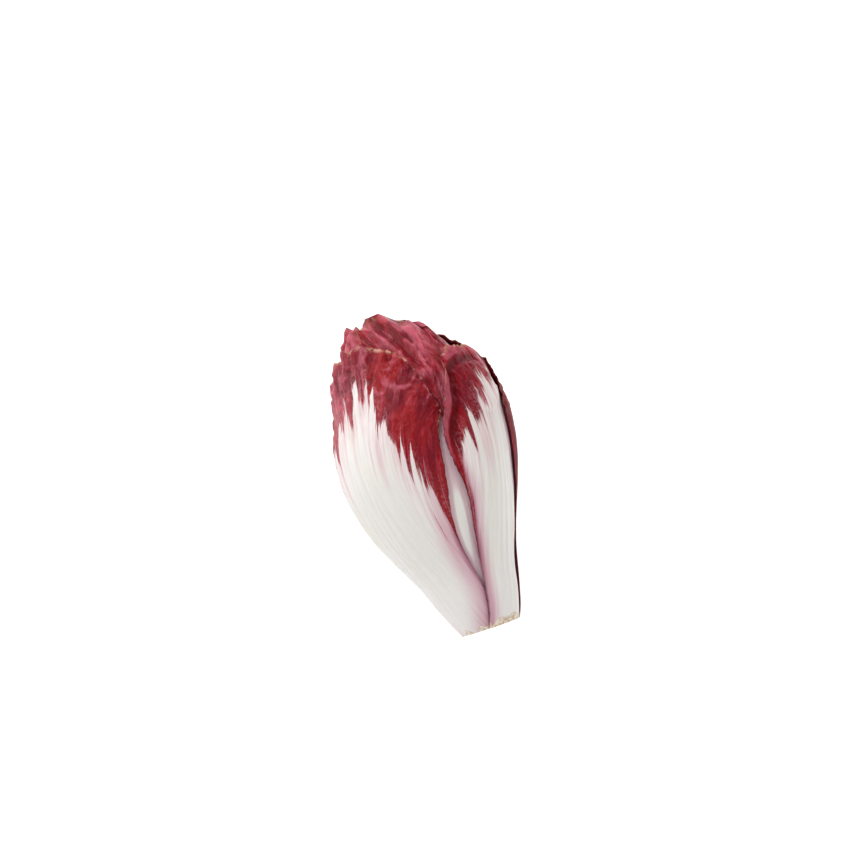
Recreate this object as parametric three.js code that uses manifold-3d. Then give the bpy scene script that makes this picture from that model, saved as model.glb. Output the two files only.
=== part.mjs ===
// A radicchio head lying on a table: long white-ribbed red leaves wrapped in layers round a short cut stem,
// with the waved tips of the inner leaves folded together at the crown.
// Millimetres, +Z up. The head lies along Y, with its cut stem towards -Y and its crown towards +Y.
import * as THREE from "three";
import Module from "manifold-3d";

const wasm = await Module();
wasm.setup();

// Driving dimensions of the head, measured along and around its own axis.
const widestAt = 92; // from the cut to the widest place
const widestRadius = 42.7;
const crownHeight = 62.5; // from the widest place to the top of the crown
const crownPower = 1.67; // 2 would be an ellipse, less is more pointed
const crownArc = 50; // length along a leaf for each radian over the crown
const depthSquash = 0.94; // the head is a little flatter than it is wide

// Radius of the outside of the head against the distance from the cut. The last is past the widest place.
const bodyProfile = [
  [0, 14.3], [6, 17], [14, 19.9], [28, 24.4], [42, 30.1], [55, 35.4], [66, 39], [79, 41.9], [92, 42.7], [105, 41.9],
];

// How the head lies.
const rollDegrees = -4.3;
const pitchDegrees = 7; // the crown end is raised, and the stem points down a little
const placeX = 1.75;
const placeY = -75.675;
const placeZ = 28.9;

// How leaves pack.
const footGap = 0.4; // between one leaf and the next at the cut
const leafGap = 0.75; // and from here up
const gapOpensBy = 20;
const bladeThickness = 0.9;
const coverMargin = 4; // beyond its edge a leaf still holds down the one below by this much
const coverFade = 24; // and the one below has come up again by here
const openMargin = 1.5; // the one below starts to flare and wave from here
const openFade = 9;

// The outer leaves, from the outermost in. Azimuths and the margins on either side of the midrib are degrees
// round the head, each margin listed against its distance along the leaf. Cut is how far the corners
// of the tip are drawn back, and blunt is how square the tip stays. Turned is how far the left margin
// is turned out near the tip.
const outerLeaves = [
  {
    name: "outer_leaf_1",
    azimuth: 140,
    left: [[0, 48], [30, 50], [52, 56], [70, 66], [92, 71], [120, 66], [149, 42]],
    right: [[0, 56], [30, 66], [70, 76], [110, 68], [149, 36]],
    to: 149,
    rib: 4.2,
    cut: 0.12,
    blunt: 4,
    wave: 1,
  },
  {
    name: "outer_leaf_2",
    azimuth: 60,
    left: [
      [0, 63], [8, 53.5], [18, 48], [30, 43], [43, 40.5], [56, 39.5], [68, 41.5], [80, 45], [96, 47], [114, 42],
      [133, 30],
    ],
    right: [[0, 44], [30, 47], [90, 50], [133, 40]],
    to: 133,
    rib: 3.4,
    cut: 0.09,
    blunt: 4,
    wave: 1.3,
    turned: 3.2,
  },
  {
    name: "outer_leaf_3",
    azimuth: -44,
    left: [[0, 46], [30, 52], [80, 58], [149, 40]],
    right: [
      [0, 41], [8, 51], [18, 55.5], [30, 51], [41, 48.5], [57, 50], [75, 52.5], [90, 54], [104, 58], [120, 57],
      [148, 43],
    ],
    to: 148,
    rib: 3.4,
    cut: 0.08,
    blunt: 4,
    wave: 0.7,
  },
  {
    name: "outer_leaf_4",
    azimuth: -118,
    left: [[0, 50], [30, 54], [80, 58], [120, 50], [147, 30]],
    right: [[0, 46], [30, 52], [80, 58], [120, 50], [147, 30]],
    to: 147,
    rib: 3,
    cut: 0.14,
    blunt: 4,
    wave: 1,
  },
];

// The leaves inside them follow the plant's own turn from leaf to leaf. The middle ones still reach the cut,
// and the ones of the heart are fused with its core.
const firstInnerAzimuth = 14;
const leafTurn = 137.5;
const middleLeaf = {
  prefix: "middle_leaf", from: 0, tips: [159, 159, 165, 161], half: 56, rib: 2.6, wave: 3.2,
};
const innerLeaf = { prefix: "inner_leaf", from: 14, tips: [162, 164, 163, 164], half: 52, rib: 2, wave: 3 };
const heartLeaf = {
  prefix: "heart_leaf", from: 118, tips: [165, 165, 166, 167, 168], half: 34, rib: 1.2, wave: 2.4,
};
const heartBelow = 0.55; // the heart keeps this much further from the leaves round it

const clamp = THREE.MathUtils.clamp;
const radians = THREE.MathUtils.degToRad;
const smoothstep = (x, low, high) => THREE.MathUtils.smoothstep(x, low, high);

function leafSeries(series, first) {
  return series.tips.map((to, i) => {
    const margin = [[0, 0.88], [0.3, 1], [0.6, 0.97], [0.8, 0.76], [0.92, 0.58], [1, 0.36]];
    const length = to - series.from;
    const side = margin.map(([share, width]) => [series.from + length * share, series.half * width]);
    return {
      name: `${series.prefix}_${i + 1}`,
      azimuth: firstInnerAzimuth + leafTurn * (first + i),
      left: side,
      right: side,
      from: series.from,
      to,
      rib: series.rib,
      cut: 0.1,
      blunt: 3,
      wave: series.wave,
      below: series === heartLeaf ? heartBelow : 0,
    };
  });
}

const innerLeaves = [...leafSeries(middleLeaf, 0), ...leafSeries(innerLeaf, middleLeaf.tips.length)];
const wrapLeaves = [...outerLeaves, ...innerLeaves];
const heartLeaves = leafSeries(heartLeaf, innerLeaves.length);
const leaves = [...wrapLeaves, ...heartLeaves];
leaves.forEach((leaf, order) => {
  leaf.from ??= 0;
  leaf.turned ??= 0;
  leaf.below ??= 0;
  leaf.order = order;
});

// A smooth curve through listed points, level with the first and last beyond them.
function through(points, x) {
  const last = points.length - 1;
  if (x <= points[0][0]) return points[0][1];
  if (x >= points[last][0]) return points[last][1];
  const k = points.findLastIndex((point) => point[0] <= x);
  const slope = (i) => {
    const before = points[Math.max(i - 1, 0)];
    const after = points[Math.min(i + 1, last)];
    return (after[1] - before[1]) / (after[0] - before[0]);
  };
  const step = points[k + 1][0] - points[k][0];
  const t = (x - points[k][0]) / step;
  const rise = points[k + 1][1] - points[k][1];
  const bend = t * (1 - t) * ((1 - t) * (slope(k) * step - rise) - t * (slope(k + 1) * step - rise));
  return points[k][1] + rise * t + bend;
}

// Radius of the outside of the head at a distance along it, below the widest place.
function bodyRadius(along) {
  return through(bodyProfile, along);
}

// Distance from the middle of the widest place to the outside of the crown, at an angle up from it.
function crownReach(polar) {
  const c = Math.abs(Math.cos(polar)) / widestRadius;
  const s = Math.abs(Math.sin(polar)) / crownHeight;
  return (c ** crownPower + s ** crownPower) ** (-1 / crownPower);
}

// Direction on the head of a place on a leaf: azimuth, and either a distance along or an angle up the crown.
function directionOf(leaf, across, along) {
  if (along <= widestAt) return { azimuth: radians(leaf.azimuth) + across, along, polar: 0 };
  const over = (along - widestAt) / crownArc;
  const ahead = Math.cos(over) * Math.cos(across);
  const side = Math.sin(across);
  const up = Math.sin(over) * Math.cos(across);
  const polar = Math.asin(clamp(up, -1, 1));
  return { azimuth: radians(leaf.azimuth) + Math.atan2(side, ahead), along: widestAt, polar };
}

// The same the other way: where a direction on the head falls on a leaf.
function onLeaf(leaf, direction) {
  const turn = direction.azimuth - radians(leaf.azimuth);
  const wrapped = Math.atan2(Math.sin(turn), Math.cos(turn));
  if (direction.polar <= 0) return { across: wrapped, along: direction.along };
  const flat = Math.cos(direction.polar);
  const ahead = flat * Math.cos(wrapped);
  const side = flat * Math.sin(wrapped);
  const over = Math.atan2(Math.sin(direction.polar), ahead);
  return { across: Math.asin(clamp(side, -1, 1)), along: widestAt + crownArc * over };
}

// Half width of a leaf on one side of its midrib, as an angle round the head.
function halfWidth(leaf, v, side) {
  const along = leaf.from + (leaf.to - leaf.from) * v;
  const ripple = 1 + 0.01 * Math.sin(19 * v + 2.1 * leaf.order);
  return radians(through(side < 0 ? leaf.left : leaf.right, along)) * ripple;
}

// The corners of the tip are drawn back by this share of the leaf's length.
function cornerCut(leaf, u, v) {
  return 1 - leaf.cut * clamp(v, 0, 1) ** 1.5 * Math.min(Math.abs(u), 1.1) ** leaf.blunt;
}

function leafPlace(leaf, u, v) {
  return {
    across: u * halfWidth(leaf, v, u),
    along: leaf.from + (leaf.to - leaf.from) * v * cornerCut(leaf, u, v),
  };
}

// Finds u and v again from a place on the leaf.
function leafCoordinates(leaf, place) {
  const share = (place.along - leaf.from) / (leaf.to - leaf.from);
  let u = 0;
  let v = share;
  for (let step = 0; step < 10; step++) {
    u = place.across / halfWidth(leaf, clamp(v, 0, 1), place.across);
    v = 0.5 * v + 0.5 * clamp(share / cornerCut(leaf, u, v), -0.5, 2);
  }
  return { u, v };
}

// A thick white rib in the middle, thinning to the edges and the tip.
function thickness(leaf, u, v) {
  const across = Math.max(0, 1 - u * u) ** 1.5;
  const along = Math.max(0, 1 - clamp(v, 0, 1)) ** 0.9;
  return bladeThickness + (leaf.rib - bladeThickness) * across * (0.12 + 0.88 * along);
}

// Share is 1 where a leaf covers this direction, fading to 0 beyond its edge, and shut fades sooner.
function cover(leaf, direction) {
  const place = onLeaf(leaf, direction);
  const { u, v } = leafCoordinates(leaf, place);
  const half = halfWidth(leaf, clamp(v, 0, 1), place.across);
  const sideways = Math.max(0, Math.abs(u) - 1) * half * widestRadius;
  const beyondTip = Math.max(0, v - 1) * (leaf.to - leaf.from) * cornerCut(leaf, u, v);
  const beyondFoot = Math.max(0, -v) * (leaf.to - leaf.from);
  const beyond = Math.hypot(sideways, beyondTip, beyondFoot);
  const shut = 1 - smoothstep(beyond, openMargin, openFade);
  return { share: 1 - smoothstep(beyond, coverMargin, coverFade), shut, u, v };
}

function gapAt(direction) {
  const opened = direction.polar > 0 ? 1 : smoothstep(direction.along, 0, gapOpensBy);
  return footGap + (leafGap - footGap) * opened;
}

// Depth below the outside of the head that the leaves above take up, and how far they leave this place open.
function depthUnder(order, direction) {
  let depth = 0;
  let open = 1;
  for (const above of leaves.slice(0, order)) {
    const { share, shut, u, v } = cover(above, direction);
    if (share <= 0) continue;
    depth += share * (thickness(above, clamp(u, -1, 1), clamp(v, 0, 1)) + gapAt(direction));
    open *= 1 - shut;
  }
  return { depth, open };
}

// How far a leaf stands out of its layer where nothing covers it: full over the midrib, waved at the tip.
function lift(leaf, u, v) {
  const rib = 0.9 * Math.max(0, 1 - u * u) ** 2 * smoothstep(v, 0.03, 0.3) * (1 - smoothstep(v, 0.5, 0.8));
  const tip = smoothstep(v, 0.76, 1) ** 2;
  const wave = 0.5 + 0.5 * Math.sin(8.3 * u + 2.3 * leaf.order + 3 * v);
  const side = smoothstep(Math.abs(u), 0.6, 1) * smoothstep(v, 0.4, 0.85);
  const turned = smoothstep(-u, 0.5, 1) ** 2 * smoothstep(v, 0.62, 0.84);
  return rib + leaf.wave * tip * (0.5 + wave) + 0.3 * side + leaf.turned * turned;
}

// The middle of the head wanders a little: it bows at the foot and its crown leans over.
function sideways(along) {
  const foot = -3.4 * Math.sin(Math.PI * clamp(along / 112, 0, 1)) ** 1.3;
  const crown = -12 * clamp((along - 112) / 43, 0, 1.3) ** 1.7;
  return foot + crown;
}

// A point of the head in its own frame, from a direction and a depth below the outside.
function headPoint(direction, depth) {
  const crown = direction.polar > 0;
  const reach = (crown ? crownReach(direction.polar) : bodyRadius(direction.along)) - depth;
  const flat = reach * Math.cos(direction.polar);
  const along = direction.along + (crown ? reach * Math.sin(direction.polar) : 0);
  const x = flat * Math.sin(direction.azimuth) + sideways(along);
  const z = flat * Math.cos(direction.azimuth) * depthSquash;
  return new THREE.Vector3(x, along, z);
}

function indexed(positions, index) {
  return new THREE.BufferGeometry()
    .setAttribute("position", new THREE.Float32BufferAttribute(positions, 3))
    .setIndex(index);
}

// A closed sheet from a grid of outer points and one of inner points, cut into triangles alike on both faces.
function sheetGeometry(rows, columns, outerPoint, innerPoint) {
  const positions = [];
  const index = [];
  for (const point of [outerPoint, innerPoint])
    for (let i = 0; i <= rows; i++)
      for (let j = 0; j <= columns; j++) {
        positions.push(...point((i / rows) ** 0.8, (2 * j) / columns - 1).toArray());
      }
  const at = (face, i, j) => face * (rows + 1) * (columns + 1) + i * (columns + 1) + j;
  const quad = (a, b, c, d) => index.push(a, c, b, a, d, c);
  for (let i = 0; i < rows; i++)
    for (let j = 0; j < columns; j++) {
      quad(at(0, i, j), at(0, i + 1, j), at(0, i + 1, j + 1), at(0, i, j + 1));
      index.push(at(1, i, j), at(1, i + 1, j), at(1, i + 1, j + 1));
      index.push(at(1, i, j), at(1, i + 1, j + 1), at(1, i, j + 1));
    }
  for (let i = 0; i < rows; i++) {
    quad(at(0, i, 0), at(1, i, 0), at(1, i + 1, 0), at(0, i + 1, 0));
    quad(at(0, i + 1, columns), at(1, i + 1, columns), at(1, i, columns), at(0, i, columns));
  }
  for (let j = 0; j < columns; j++) {
    quad(at(0, 0, j + 1), at(1, 0, j + 1), at(1, 0, j), at(0, 0, j));
    quad(at(0, rows, j), at(1, rows, j), at(1, rows, j + 1), at(0, rows, j + 1));
  }
  return indexed(positions, index);
}

// The head, turned and set down on the table.
const head = new THREE.Group();
head.position.set(placeX, placeY, placeZ);
head.rotation.set(radians(pitchDegrees), radians(rollDegrees), 0);
head.updateMatrixWorld();

// Presses a point of the head up to the table where it would pass through.
function pressedFlat(point) {
  head.localToWorld(point);
  point.z = Math.max(point.z, 0);
  return head.worldToLocal(point);
}

function leafGeometry(leaf, rows, columns) {
  const surface = (inner) => (v, u) => {
    const place = leafPlace(leaf, u, v);
    const direction = directionOf(leaf, place.across, place.along);
    const { depth, open } = depthUnder(leaf.order, direction);
    const below = leaf.below + (inner ? thickness(leaf, u, v) : 0);
    const point = headPoint(direction, depth - open * lift(leaf, u, v) + below);
    return inner ? point : pressedFlat(point);
  };
  return sheetGeometry(rows, columns, surface(false), surface(true));
}

// A closed body of rings round the head's axis, from a point at one end to a point at the other.
function ringsGeometry(rings, columns, ringPoint) {
  const positions = [];
  const index = [];
  positions.push(...ringPoint(0, 0).toArray());
  for (let i = 1; i < rings; i++)
    for (let j = 0; j < columns; j++) {
      positions.push(...ringPoint(i / rings, (2 * Math.PI * j) / columns).toArray());
    }
  positions.push(...ringPoint(1, 0).toArray());
  const at = (i, j) => 1 + (i - 1) * columns + (j % columns);
  const last = positions.length / 3 - 1;
  for (let j = 0; j < columns; j++) {
    index.push(0, at(1, j + 1), at(1, j));
    index.push(last, at(rings - 1, j), at(rings - 1, j + 1));
    for (let i = 1; i < rings - 1; i++) {
      index.push(at(i, j), at(i, j + 1), at(i + 1, j + 1));
      index.push(at(i, j), at(i + 1, j + 1), at(i + 1, j));
    }
  }
  return indexed(positions, index);
}

// Fills the space inside the leaves up to this depth below the last of them.
function fillPoint(direction, below, fullness) {
  const { depth } = depthUnder(wrapLeaves.length, direction);
  const reach = direction.polar > 0 ? crownReach(direction.polar) : bodyRadius(direction.along);
  return headPoint(direction, reach - fullness * (reach - depth - below));
}

// The cut stub of the stem: its flat face is level with the cut ends of the leaves.
const stemLength = 32;
const stemFullTo = 16;
function stemPoint(share, azimuth) {
  const along = stemLength * Math.max(0, share - 0.1) / 0.9;
  const round = Math.sqrt(1 - smoothstep(along, stemFullTo, stemLength));
  return fillPoint({ azimuth, along, polar: 0 }, 0.2, share === 0 ? 0 : round);
}

// The core of the heart, drawn in at the crown so the tips of its leaves stand free.
const heartFrom = 36;
const heartFullFrom = 52;
const crownHollow = 7;
function corePoint(share, azimuth) {
  const bodyShare = 0.45;
  const along = heartFrom + (widestAt - heartFrom) * Math.min(1, share / bodyShare);
  const polar = (Math.PI / 2) * Math.max(0, (share - bodyShare) / (1 - bodyShare));
  const round = Math.sqrt(smoothstep(along, heartFrom - 1e-6, heartFullFrom));
  const below = heartBelow + 0.5 * bladeThickness + crownHollow * smoothstep(polar, radians(55), radians(85));
  return fillPoint({ azimuth, along, polar }, below, share === 0 ? 0 : round);
}

function solidOf(geometry) {
  const vertProperties = new Float32Array(geometry.getAttribute("position").array);
  const triVerts = new Uint32Array(geometry.index.array);
  return new wasm.Manifold(new wasm.Mesh({ numProp: 3, vertProperties, triVerts }));
}

// Joins closed bodies into one and fills any hollow shut in between them.
function fused(geometries) {
  const joined = wasm.Manifold.union(geometries.map(solidOf));
  const [body] = joined.decompose().sort((a, b) => b.volume() - a.volume());
  const mesh = body.getMesh();
  return indexed(Array.from(mesh.vertProperties), Array.from(mesh.triVerts));
}

const material = {
  ribbed: new THREE.MeshStandardMaterial({ color: 0xe6e1db, roughness: 0.42, metalness: 0 }),
  red: new THREE.MeshStandardMaterial({ color: 0x8a2630, roughness: 0.4, metalness: 0 }),
  cut: new THREE.MeshStandardMaterial({ color: 0xdcc9b4, roughness: 0.6, metalness: 0 }),
};

function add(name, geometry, look) {
  const mesh = new THREE.Mesh(geometry, look);
  mesh.name = name;
  head.add(mesh);
}

for (const leaf of wrapLeaves) {
  const outer = leaf.order < outerLeaves.length;
  const [rows, columns] = outer ? [20, 14] : [18, 10];
  add(leaf.name, leafGeometry(leaf, rows, columns), outer ? material.ribbed : material.red);
}

const heartBlades = heartLeaves.map((leaf) => leafGeometry(leaf, 9, 7));
add("heart", fused([ringsGeometry(18, 24, corePoint), ...heartBlades]), material.red);
add("stem", ringsGeometry(9, 28, stemPoint), material.cut);

export default head;
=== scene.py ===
import bpy
import math
import numpy as np
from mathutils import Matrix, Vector


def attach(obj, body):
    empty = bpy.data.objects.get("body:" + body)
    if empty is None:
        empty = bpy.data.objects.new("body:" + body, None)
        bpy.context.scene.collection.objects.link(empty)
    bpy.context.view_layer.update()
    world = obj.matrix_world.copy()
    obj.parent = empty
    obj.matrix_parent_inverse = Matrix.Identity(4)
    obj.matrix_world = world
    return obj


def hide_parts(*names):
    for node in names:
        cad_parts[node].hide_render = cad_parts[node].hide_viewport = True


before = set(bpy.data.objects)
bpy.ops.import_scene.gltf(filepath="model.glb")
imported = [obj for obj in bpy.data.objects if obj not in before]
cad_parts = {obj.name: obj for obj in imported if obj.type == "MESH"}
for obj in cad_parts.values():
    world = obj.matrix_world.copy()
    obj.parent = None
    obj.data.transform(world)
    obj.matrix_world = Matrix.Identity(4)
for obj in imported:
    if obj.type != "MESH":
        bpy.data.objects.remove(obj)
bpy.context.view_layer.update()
print("frame loaded")

# the head's own shape in mm and degrees, as the solids have it; profile is its radius from the cut on
headShape = {
    "profile": [(0, 14.3), (6, 17), (14, 19.9), (28, 24.4), (42, 30.1), (55, 35.4), (66, 39), (79, 41.9),
                (92, 42.7), (105, 41.9)],
    "widestAt": 92, "widestRadius": 42.7, "depthSquash": 0.94,
    "crownHeight": 62.5, "crownPower": 1.67, "crownArc": 50,
    "bow": 3.4, "bowPower": 1.3, "straightAt": 112,
    "lean": 12, "leanOver": 43, "leanPower": 1.7, "leanLimit": 1.3,
    "roll": -4.3, "pitch": 7, "place": (1.75, -75.675, 28.9),
    "footGap": 0.4, "leafGap": 0.75, "gapOpensBy": 20,
    "coverMargin": 4, "coverFade": 24, "openMargin": 1.5, "openFade": 9,
}

# left and right are degrees round the head from the midrib to the margin, against the distance along the leaf
outerLeaves = [
    {"name": "outer_leaf_1", "azimuth": 140, "to": 149, "rib": 4.2, "cut": 0.12, "wave": 1,
     "left": [(0, 48), (30, 50), (52, 56), (70, 66), (92, 71), (120, 66), (149, 42)],
     "right": [(0, 56), (30, 66), (70, 76), (110, 68), (149, 36)]},
    {"name": "outer_leaf_2", "azimuth": 60, "to": 133, "rib": 3.4, "cut": 0.09, "wave": 1.3,
     "turned": 4.2, "valley": 1.7,
     "left": [(0, 63), (8, 53.5), (18, 48), (30, 43), (43, 40.5), (56, 39.5), (68, 41.5), (80, 45), (96, 47),
              (114, 42), (133, 30)],
     "right": [(0, 44), (30, 47), (90, 50), (133, 40)]},
    {"name": "outer_leaf_3", "azimuth": -44, "to": 148, "rib": 3.4, "cut": 0.105, "wave": 0.7,
     "left": [(0, 46), (30, 52), (80, 58), (149, 40)],
     "right": [(0, 41), (8, 51), (18, 55.5), (30, 51), (41, 48.5), (57, 50), (75, 52.5), (90, 54), (104, 58),
               (120, 57), (148, 43)]},
    {"name": "outer_leaf_4", "azimuth": -118, "to": 147, "rib": 3, "cut": 0.14, "wave": 1,
     "left": [(0, 50), (30, 54), (80, 58), (120, 50), (147, 30)],
     "right": [(0, 46), (30, 52), (80, 58), (120, 50), (147, 30)]},
]
leafDefaults = {"from": 0, "blunt": 4, "turned": 0, "valley": 0, "below": 0}

# the inner leaves turn on by one step each; middle_leaf_3 lies close against the crown, so it waves less
turnOfLeaves = {"first": 14, "step": 137.5}
seriesShape = {"cut": 0.1, "blunt": 3,
               "widths": [(0, 0.88), (0.3, 1), (0.6, 0.97), (0.8, 0.76), (0.92, 0.58), (1, 0.36)]}
middleLeaves = {"prefix": "middle_leaf", "from": 0, "tips": [159, 159, 165, 161], "half": 56, "rib": 2.6,
                "wave": 3.2, "waveOf": {"middle_leaf_3": 2}}
innerLeaves = {"prefix": "inner_leaf", "from": 14, "tips": [162, 164, 163, 164], "half": 52, "rib": 2,
               "wave": 3}
heartLeaves = {"prefix": "heart_leaf", "from": 118, "tips": [165, 165, 166, 167, 168], "half": 34, "rib": 1.2,
               "wave": 2.4, "below": 0.55}


def leafSeries(series, first):
    # azimuth = first turn + step * leaf number; each side = half * the listed widths along the leaf
    leaves = []
    for i, to in enumerate(series["tips"]):
        name = f"{series['prefix']}_{i + 1}"
        length = to - series["from"]
        widths = seriesShape["widths"]
        side = [(series["from"] + length * share, series["half"] * width) for share, width in widths]
        leaves.append({
            "name": name, "azimuth": turnOfLeaves["first"] + turnOfLeaves["step"] * (first + i),
            "left": side, "right": side, "from": series["from"], "to": to, "rib": series["rib"],
            "cut": seriesShape["cut"], "blunt": seriesShape["blunt"], "below": series.get("below", 0),
            "wave": series.get("waveOf", {}).get(name, series["wave"])})
    return leaves


coverLeaves = outerLeaves + leafSeries(middleLeaves, 0) + leafSeries(innerLeaves, 4)
listedLeaves = coverLeaves + leafSeries(heartLeaves, 8)
allLeaves = [{**leafDefaults, **leaf, "order": order} for order, leaf in enumerate(listedLeaves)]
wrapLeaves = allLeaves[:len(coverLeaves)]
tipLeaves = allLeaves[len(coverLeaves):]


# curves and noise
def smooth(x, low, high):
    # t * t * (3 - 2 t), where t goes from 0 at low to 1 at high
    t = np.clip((x - low) / (high - low), 0, 1)
    return t * t * (3 - 2 * t)


def through(points, x):
    # a cubic from each listed point to the next, its slope at a point that of the line between the neighbours
    xs = np.array([p[0] for p in points], float)
    ys = np.array([p[1] for p in points], float)
    low = np.maximum(np.arange(len(xs)) - 1, 0)
    high = np.minimum(np.arange(len(xs)) + 1, len(xs) - 1)
    slope = (ys[high] - ys[low]) / (xs[high] - xs[low])
    x = np.clip(x, xs[0], xs[-1])
    k = np.clip(np.searchsorted(xs, x, side="right") - 1, 0, len(xs) - 2)
    step = xs[k + 1] - xs[k]
    t = (x - xs[k]) / step
    rise = ys[k + 1] - ys[k]
    leaving, arriving = slope[k] * step - rise, slope[k + 1] * step - rise
    return ys[k] + rise * t + t * (1 - t) * ((1 - t) * leaving - t * arriving)


hillTable = (61, 67)    # so many hills before they repeat


def grain(x, y, seed):
    # a random height of -1 to 1 at each whole x and y; between them the four nearest, each by its nearness
    rows, columns = hillTable
    table = np.random.default_rng(seed).uniform(-1, 1, hillTable)
    xi, yi = np.floor(x).astype(int), np.floor(y).astype(int)
    xf, yf = smooth(x - xi, 0, 1), smooth(y - yi, 0, 1)
    at = lambda a, b: table[(xi + a) % rows, (yi + b) % columns]
    return (at(0, 0) * (1 - xf) + at(1, 0) * xf) * (1 - yf) + (at(0, 1) * (1 - xf) + at(1, 1) * xf) * yf


# the head, and where a leaf lies on it
def bodyRadius(along):
    # radius = the profile's curve at the distance from the cut
    return through(headShape["profile"], along)


def crownReach(polar):
    # from the middle of the widest place out to the crown, a superellipse:
    # ((cos / radius) ^ power + (sin / height) ^ power) ^ (-1 / power)
    p = headShape["crownPower"]
    c = np.abs(np.cos(polar)) / headShape["widestRadius"]
    s = np.abs(np.sin(polar)) / headShape["crownHeight"]
    return (c ** p + s ** p) ** (-1 / p)


def directionOf(leaf, across, along):
    # up to the widest place a leaf runs straight along the head; then it bends over the crown like a band
    # over a ball: ahead = cos(over) cos(across), side = sin(across), up = sin(over) cos(across)
    over = np.maximum(along - headShape["widestAt"], 0) / headShape["crownArc"]
    ahead = np.cos(over) * np.cos(across)
    side = np.sin(across)
    up = np.sin(over) * np.cos(across)
    onCrown = along > headShape["widestAt"]
    turn = np.where(onCrown, np.arctan2(side, ahead), across)
    polar = np.where(onCrown, np.arcsin(np.clip(up, -1, 1)), 0)
    return math.radians(leaf["azimuth"]) + turn, np.minimum(along, headShape["widestAt"]), polar


def onLeaf(leaf, azimuth, along, polar):
    # the way back, from a direction on the head: across = asin(side), along = widest place + arc * over
    turn = azimuth - math.radians(leaf["azimuth"])
    wrapped = np.arctan2(np.sin(turn), np.cos(turn))
    flat = np.cos(polar)
    ahead = flat * np.cos(wrapped)
    side = flat * np.sin(wrapped)
    over = np.arctan2(np.sin(polar), ahead)
    onCrown = polar > 0
    across = np.where(onCrown, np.arcsin(np.clip(side, -1, 1)), wrapped)
    return across, np.where(onCrown, headShape["widestAt"] + headShape["crownArc"] * over, along)


# the leaves' shape: u is -1 and 1 at the margins, v is 0 at the foot and 1 at the tip
leafShape = {
    "blade": 0.9, "ribPower": 1.5, "ribTaper": 0.9, "ribAtTip": 0.12,
    "ripple": 0.01, "rippleTurns": 19, "rippleShift": 2.1,
    "cutPower": 1.5, "cutLimit": 1.1,
    "ribLift": 0.9, "ribRises": (0.03, 0.3), "ribFalls": (0.5, 0.8),
    "tipFrom": (0.76, 1), "waveTurns": 8.3, "waveShift": 2.3, "waveSlant": 3,
    "sideLift": 0.3, "sideAcross": (0.6, 1), "sideAlong": (0.4, 0.85),
    "turnedAcross": (0.5, 1), "turnedAlong": (0.62, 0.84),
}


def halfWidth(leaf, v, side):
    # the side's curve in radians * (1 + ripple * sin(turns * v + shift * leaf number))
    s = leafShape
    along = leaf["from"] + (leaf["to"] - leaf["from"]) * v
    ripple = 1 + s["ripple"] * np.sin(s["rippleTurns"] * v + s["rippleShift"] * leaf["order"])
    degrees = np.where(side < 0, through(leaf["left"], along), through(leaf["right"], along))
    return np.radians(degrees) * ripple


def cornerCut(leaf, u, v):
    # 1 - cut * v ^ 1.5 * |u| ^ blunt rounds off the corners of the tip
    s = leafShape
    sideways = np.minimum(np.abs(u), s["cutLimit"]) ** leaf["blunt"]
    return 1 - leaf["cut"] * np.clip(v, 0, 1) ** s["cutPower"] * sideways


def leafCoordinates(leaf, across, along):
    # u = across / half width and v = share / corner cut, found by going back and forth between the two
    share = (along - leaf["from"]) / (leaf["to"] - leaf["from"])
    u, v = np.zeros_like(share), share
    for step in range(10):
        u = across / halfWidth(leaf, np.clip(v, 0, 1), across)
        v = 0.5 * v + 0.5 * np.clip(share / cornerCut(leaf, u, v), -0.5, 2)
    return u, v


def thickness(leaf, u, v):
    # blade + (rib - blade) * (1 - u u) ^ 1.5 * (a little + the rest * (1 - v) ^ 0.9)
    s = leafShape
    across = np.maximum(0, 1 - u * u) ** s["ribPower"]
    along = np.maximum(0, 1 - np.clip(v, 0, 1)) ** s["ribTaper"]
    return s["blade"] + (leaf["rib"] - s["blade"]) * across * (s["ribAtTip"] + (1 - s["ribAtTip"]) * along)


def lift(leaf, u, v):
    # the midrib's swell + the tip's waves + the sides' rise + the turned-out margin, each in and out softly
    s = leafShape
    rib = np.maximum(0, 1 - u * u) ** 2 * smooth(v, *s["ribRises"]) * (1 - smooth(v, *s["ribFalls"]))
    tip = smooth(v, *s["tipFrom"]) ** 2
    wave = 1 + 0.5 * np.sin(s["waveTurns"] * u + s["waveShift"] * leaf["order"] + s["waveSlant"] * v)
    side = smooth(np.abs(u), *s["sideAcross"]) * smooth(v, *s["sideAlong"])
    turned = smooth(-u, *s["turnedAcross"]) ** 2 * smooth(v, *s["turnedAlong"])
    return s["ribLift"] * rib + leaf["wave"] * tip * wave + s["sideLift"] * side + leaf["turned"] * turned


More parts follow.
